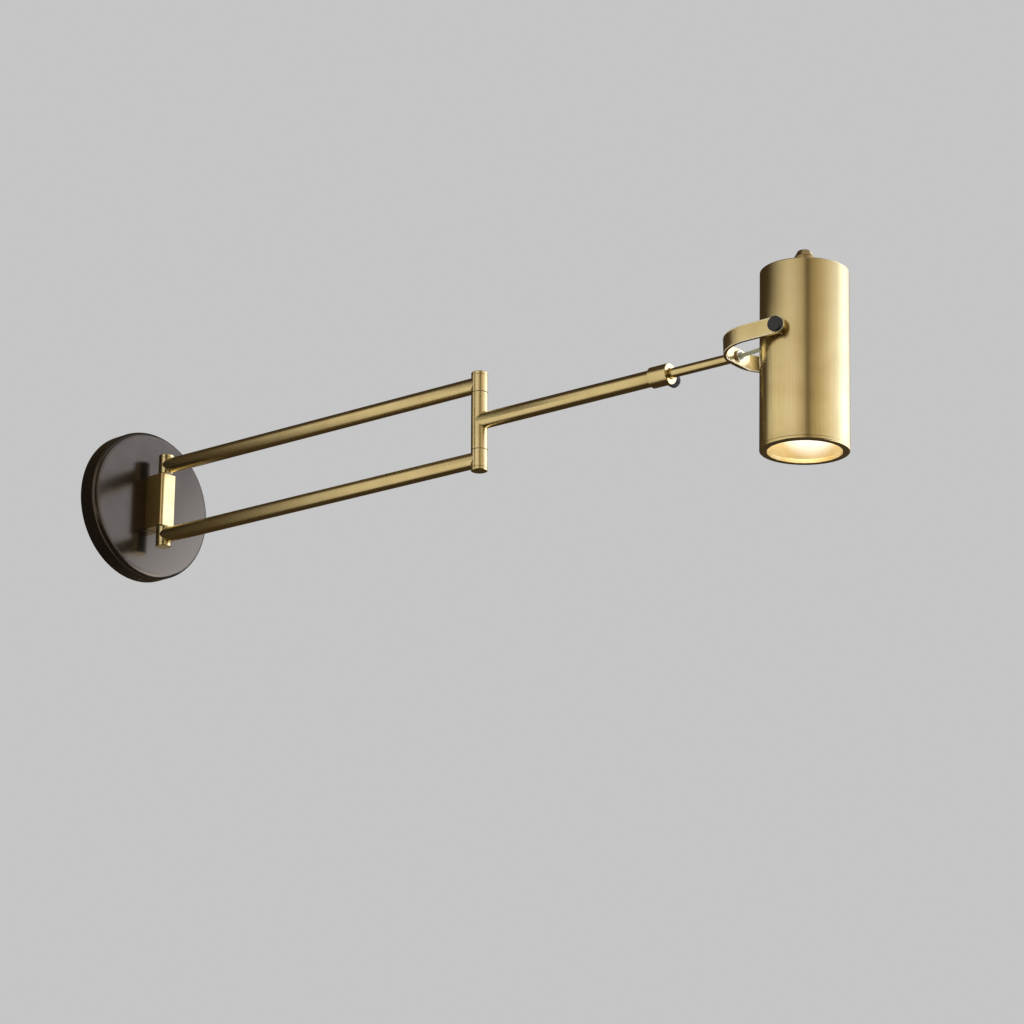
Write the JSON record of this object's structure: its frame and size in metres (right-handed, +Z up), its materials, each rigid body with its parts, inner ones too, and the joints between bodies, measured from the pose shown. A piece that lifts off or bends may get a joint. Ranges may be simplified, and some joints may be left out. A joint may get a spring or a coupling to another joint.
{
  "type": "swing arm wall lamp",
  "caption": "Swing arm wall lamp: a round wall plate, a hinged inner arm of parallel tubes, a telescoping outer arm and a tilting cylinder head in a U yoke.",
  "frame": {"origin": "centre of the wall plate's back, on the wall", "axes": "+Z up, +Y into the wall, so that the lamp stands out towards -Y"},
  "size_m": [0.1488, 0.6942, 0.1517],
  "materials": {
    "plate_bronze": "satin",
    "brass": "polished",
    "dark_steel": "satin",
    "zinc_steel": "satin",
    "green_screw": "gloss",
    "nylon": "matte",
    "warm_reflector": "satin",
    "lamp_glass": "frosted",
    "ceramic": "gloss",
    "black_plastic": "matte",
    "grommet_rubber": "matte",
    "flex_jacket": "satin"
  },
  "bodies": {
    "wall_base": {"wall_plate": "plate_bronze", "mounting_strap": "zinc_steel", "rim_screws": "zinc_steel", "ground_screw": "green_screw", "hinge_block": "brass", "block_washers": "zinc_steel", "block_screws": "zinc_steel", "wall_hinge_pin": "zinc_steel", "wall_pin_caps": "brass", "wall_hinge_washers": "nylon"},
    "inner_arm": {"upper_arm_tube": "brass", "lower_arm_tube": "brass", "upper_wall_knuckle": "brass", "lower_wall_knuckle": "brass", "upper_elbow_knuckle": "brass", "lower_elbow_knuckle": "brass", "elbow_hinge_pin": "zinc_steel", "elbow_pin_caps": "brass", "elbow_hinge_washers": "nylon"},
    "outer_arm": {"elbow_sleeve": "brass", "outer_arm_tube": "brass", "clamp_collar": "brass"},
    "clamp_screw": {"thumb_screw": "dark_steel"},
    "rod": {"slide_rod": "brass", "rod_guide": "nylon", "yoke_nut": "brass", "cord_bush": "nylon"},
    "head_yoke": {"yoke": "brass", "flex": "flex_jacket"},
    "lamp_head": {"head_shell": "brass", "head_cap": "brass", "bezel_ring": "brass", "reflector": "warm_reflector", "bulb": "lamp_glass", "lamp_holder": "ceramic", "holder_bracket": "zinc_steel", "holder_screws": "zinc_steel", "pivot_bosses": "brass", "pivot_screws": "dark_steel", "friction_washers": "black_plastic", "flex_grommet": "grommet_rubber", "switch_body": "black_plastic", "switch_nut": "zinc_steel"},
    "knob": {"switch_knob": "brass"}
  },
  "joints": [
    {"name": "arm_swing", "type": "hinge", "parent": "wall_base", "child": "inner_arm", "pos_m": [0, -0.0335, 0], "axis": [0, 0, 1], "range_deg": [-89, 81]},
    {"name": "elbow_swing", "type": "hinge", "parent": "inner_arm", "child": "outer_arm", "pos_m": [0.0234, -0.36818, 0], "axis": [0, 0, 1], "range_deg": [-150, 150]},
    {"name": "clamp_screw_turn", "type": "hinge", "parent": "outer_arm", "child": "clamp_screw", "pos_m": [0.03533, -0.53877, 0], "axis": [0.9976, 0.0698, 0], "range_deg": [0, 180]},
    {"name": "rod_slide", "type": "slide", "parent": "outer_arm", "child": "rod", "axis": [0.0698, -0.9976, 0], "range_m": [-0.045, 0.085]},
    {"name": "yoke_turn", "type": "hinge", "parent": "rod", "child": "head_yoke", "pos_m": [0.04384, -0.66047, 0], "axis": [0.0698, -0.9976, 0], "range_deg": [-90, 90]},
    {"name": "head_tilt", "type": "hinge", "parent": "head_yoke", "child": "lamp_head", "pos_m": [0.04384, -0.66047, 0], "axis": [0.9976, 0.0698, 0], "range_deg": [-42, 38], "deforming": ["flex"]},
    {"name": "switch_turn", "type": "hinge", "parent": "lamp_head", "child": "knob", "pos_m": [0.04384, -0.66047, 0], "axis": [0.0024, -0.0348, 0.9994], "continuous": true}
  ]
}
